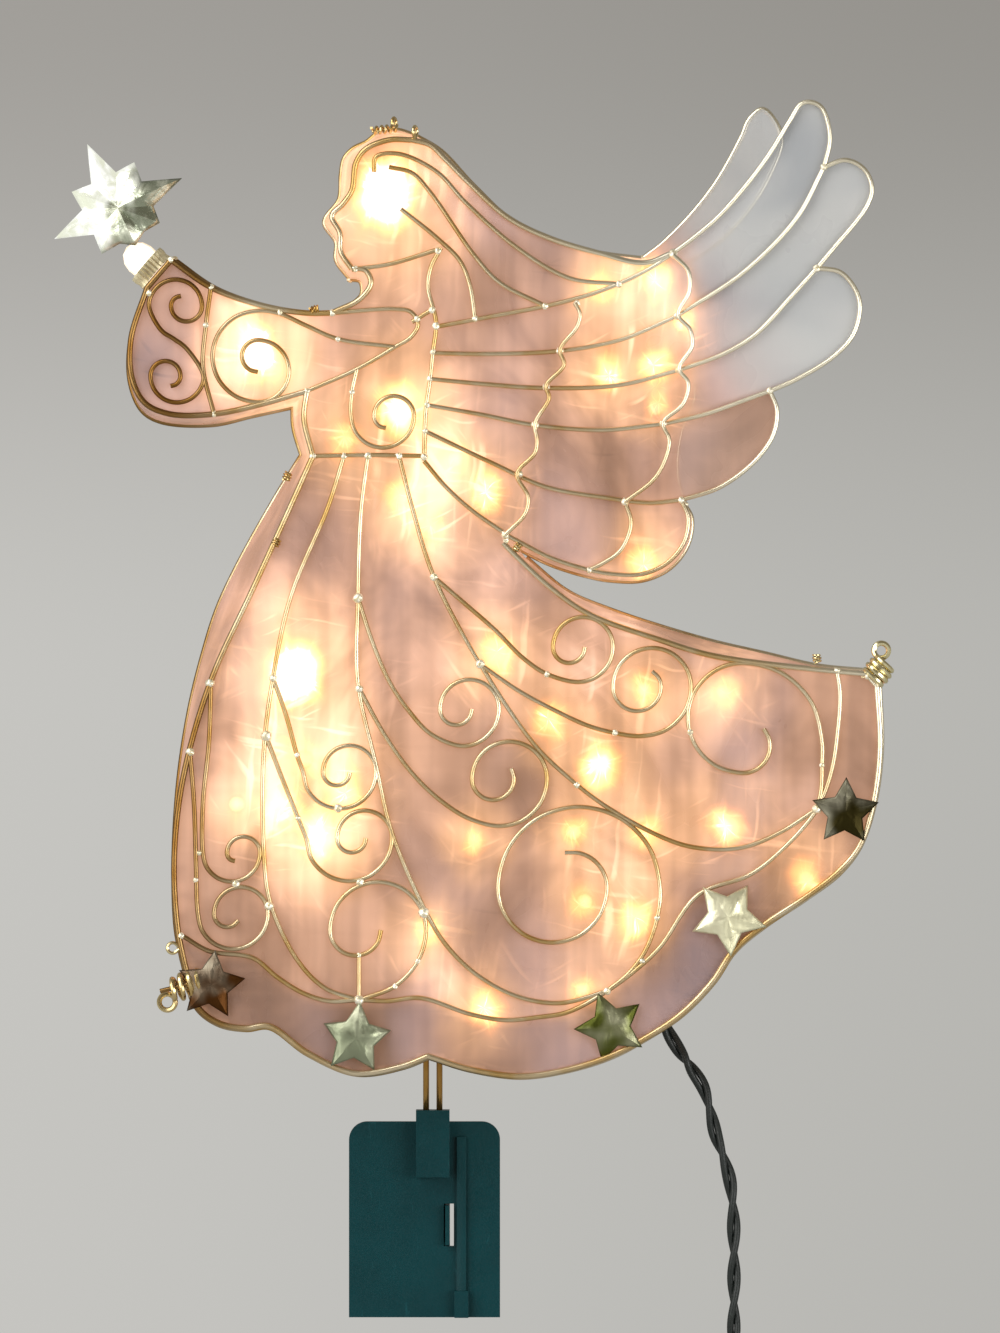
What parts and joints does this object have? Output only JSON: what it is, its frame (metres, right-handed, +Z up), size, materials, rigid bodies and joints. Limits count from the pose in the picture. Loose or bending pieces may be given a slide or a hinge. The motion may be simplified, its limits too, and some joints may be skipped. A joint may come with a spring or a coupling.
{
  "type": "lighted angel tree topper",
  "caption": "Angel tree topper in profile: soldered wire and film lantern lit from inside, star wand, clamp for the tree's leader, and a lead with a plug.",
  "frame": {"origin": "middle of the clamp's grip, on the axis of the tree's leader", "axes": "+Z up along the leader, the lit front towards -Y, +X to the right as seen from the front"},
  "size_m": [0.2755, 0.064, 0.5222],
  "materials": {
    "gold_wire": "bright champagne gold plating with solder blobs",
    "foil": "bright foil",
    "film": "clear pearl film",
    "back_film": "pearl film, milkier than the front",
    "bulb_glass": "clear, lit warm white",
    "lamp_white": "frosted, lit warm white",
    "string_green": "satin dark green",
    "clamp_teal": "moulded, satin gloss",
    "pin_steel": "plain",
    "lead_green": "near black green, two twisted conductors",
    "plug_green": "satin moulded",
    "blade_brass": "plain"
  },
  "bodies": {
    "topper": {"front_outline": "gold_wire", "wing_ribs": "gold_wire", "bodice_wires": "gold_wire", "sleeve_scrolls": "gold_wire", "side_scroll_upper": "gold_wire", "side_scroll_lower": "gold_wire", "skirt_scrollwork": "gold_wire", "scallop_inner": "gold_wire", "scallop_middle": "gold_wire", "back_frame": "gold_wire", "wand_cuff": "gold_wire", "clasp_right": "gold_wire", "clasp_left": "gold_wire", "head_winding": "gold_wire", "stand_wire": "gold_wire", "hem_star_1": "foil", "hem_star_2": "foil", "hem_star_3": "foil", "hem_star_4": "foil", "hem_star_5": "foil", "wand_star": "foil", "front_film": "film", "band_head": "film", "band_sleeve": "film", "band_skirt_side": "film", "band_hem_left": "film", "band_hem_right": "film", "band_skirt_top": "film", "band_wing": "film", "band_hair": "film", "back_film": "back_film", "bulb_1": "bulb_glass", "bulb_2": "bulb_glass", "bulb_3": "bulb_glass", "bulb_4": "bulb_glass", "bulb_5": "bulb_glass", "bulb_6": "bulb_glass", "bulb_7": "bulb_glass", "bulb_8": "bulb_glass", "bulb_9": "bulb_glass", "bulb_10": "bulb_glass", "bulb_11": "bulb_glass", "bulb_12": "bulb_glass", "wand_lamp": "lamp_white", "light_string": "string_green", "clamp_plate": "clamp_teal", "hinge_pin": "pin_steel", "strain_relief": "lead_green", "lead": "lead_green", "lead_coil": "lead_green", "lead_end": "lead_green", "splice": "plug_green", "coil_tie": "plug_green", "plug": "plug_green", "plug_blade_left": "blade_brass", "plug_blade_right": "blade_brass"},
    "strap": {"clamp_strap": "clamp_teal"},
    "fuse_door": {"fuse_cover": "plug_green"}
  },
  "joints": [
    {"name": "strap_hinge", "type": "hinge", "parent": "topper", "child": "strap", "pos_m": [-0.0132, -0.007, 0], "axis": [0, 0, 1], "range_deg": [0, 80]},
    {"name": "fuse_cover_slide", "type": "slide", "parent": "topper", "child": "fuse_door", "axis": [0, 0, -1], "range_m": [0, 0.008]}
  ]
}
